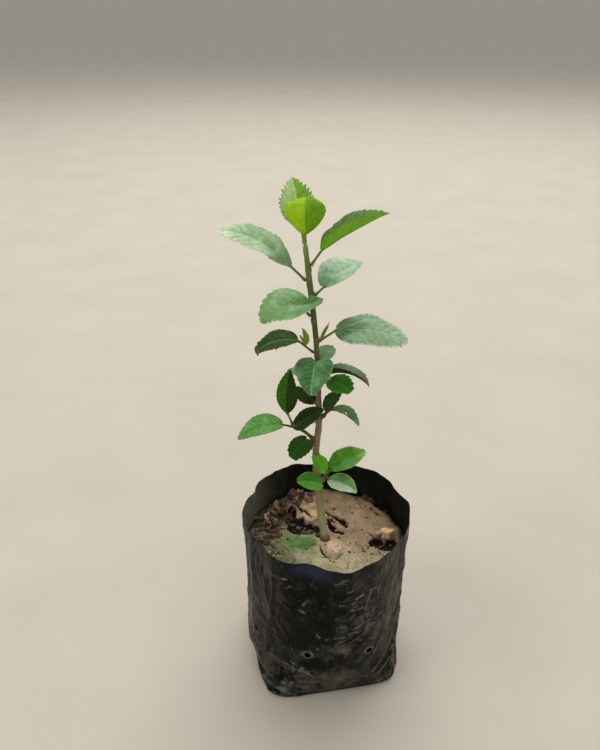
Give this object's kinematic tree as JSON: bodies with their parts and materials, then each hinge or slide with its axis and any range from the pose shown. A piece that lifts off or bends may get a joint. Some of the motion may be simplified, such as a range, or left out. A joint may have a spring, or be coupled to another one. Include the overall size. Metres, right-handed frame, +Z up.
{
  "type": "young hibiscus shrub in a film grow bag",
  "caption": "Young potted shrub: an upright stem with side shoots and toothed leaves on long stalks, in a soil-filled black film grow bag that stands by itself.",
  "frame": {"origin": "middle of the grow bag's flat underside, on the ground", "axes": "+Z up along the stem, -Y towards the side the plant is seen from, +X to the right of that side"},
  "size_m": [0.1392, 0.1276, 0.3901],
  "materials": {
    "bag_film": "dull black polythene film, dusty and scuffed",
    "soil": "dry silty crust with cracks and crumbs",
    "bark": "thin young bark, brown below and green above",
    "leaf": "satin leaf skin with pale veins"
  },
  "bodies": {
    "root": {"grow_bag": "bag_film", "soil": "soil", "stem": "bark", "shoot_left": "bark", "shoot_right": "bark", "shoot_base": "bark", "leaf_top_back": "leaf", "leaf_top_front": "leaf", "leaf_high_right": "leaf", "leaf_high_left": "leaf", "leaf_upper_right": "leaf", "leaf_upper_left": "leaf", "leaf_middle_right": "leaf", "leaf_middle_left": "leaf", "leaf_small_behind": "leaf", "leaf_heart_front": "leaf", "leaf_arching_right": "leaf", "leaf_round_right": "leaf", "leaf_hidden_back": "leaf", "leaf_back_left": "leaf", "leaf_shaded_left": "leaf", "leaf_low_back": "leaf", "leaf_low_dark": "leaf", "leaf_upright_left": "leaf", "leaf_crossing_front": "leaf", "leaf_far_left": "leaf", "leaf_shoot_right_upper": "leaf", "leaf_shoot_right_lower": "leaf", "leaf_base_upper_left": "leaf", "leaf_base_upper_right": "leaf", "leaf_base_lower_left": "leaf", "leaf_base_lower_right": "leaf"}
  },
  "joints": []
}
